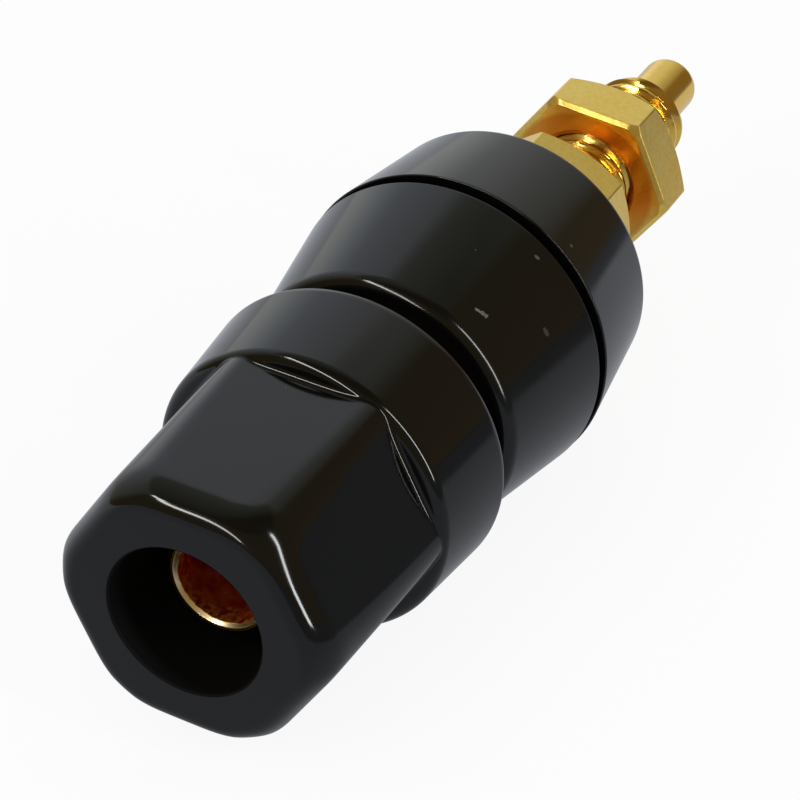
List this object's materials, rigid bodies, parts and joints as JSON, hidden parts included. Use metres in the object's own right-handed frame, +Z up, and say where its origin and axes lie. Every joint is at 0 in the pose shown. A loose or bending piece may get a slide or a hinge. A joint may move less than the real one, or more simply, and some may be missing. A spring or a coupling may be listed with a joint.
{
  "type": "speaker terminal",
  "caption": "Panel-mounted speaker binding post: a black hexagonal screw knob over a gold-plated plug socket, between tapered insulating bushes, with a threaded stud, nuts and a solder pin.",
  "frame": {"origin": "on the terminal's axis, in the plane where the front bush bears on the panel", "axes": "+Y along the axis towards the solder pin, so the knob's face looks along -Y; +Z up, as mounted on an upright panel"},
  "size_m": [0.0156, 0.0506, 0.0156],
  "materials": {
    "gold_plate": "polished gold plating over brass",
    "knob_plastic": "gloss black moulding",
    "bush_plastic": "semi-gloss black moulding"
  },
  "bodies": {
    "terminal": {"post": "gold_plate", "front_bush": "bush_plastic"},
    "insert": {"knob_insert": "gold_plate"},
    "knob": {"knob_cap": "knob_plastic"},
    "rear_clamp": {"rear_bush": "bush_plastic", "flat_washer": "gold_plate", "spring_washer": "gold_plate"},
    "panel_nut": {"panel_nut": "gold_plate"},
    "terminal_nut": {"terminal_nut": "gold_plate"}
  },
  "joints": [
    {"name": "knob_travel", "type": "slide", "parent": "terminal", "child": "insert", "axis": [0, -1, 0], "range_m": [0, 0.005]},
    {"name": "knob_turn", "type": "hinge", "parent": "insert", "child": "knob", "pos_m": [0, -0.016, 0], "axis": [0, -1, 0], "range_deg": [0, 1800]},
    {"name": "clamp_travel", "type": "slide", "parent": "terminal", "child": "rear_clamp", "axis": [0, 1, 0], "range_m": [0, 0.0016]},
    {"name": "panel_nut_turn", "type": "hinge", "parent": "rear_clamp", "child": "panel_nut", "pos_m": [0, 0.0108, 0], "axis": [0, 1, 0], "range_deg": [0, 720]},
    {"name": "terminal_nut_travel", "type": "slide", "parent": "terminal", "child": "terminal_nut", "axis": [0, 1, 0], "range_m": [-0.0014, 0.004]}
  ],
  "couplings": [
    {"joint": "knob_turn", "follows": "knob_travel", "rad_per_m": 6283.2},
    {"joint": "panel_nut_turn", "follows": "clamp_travel", "rad_per_m": 7854}
  ]
}
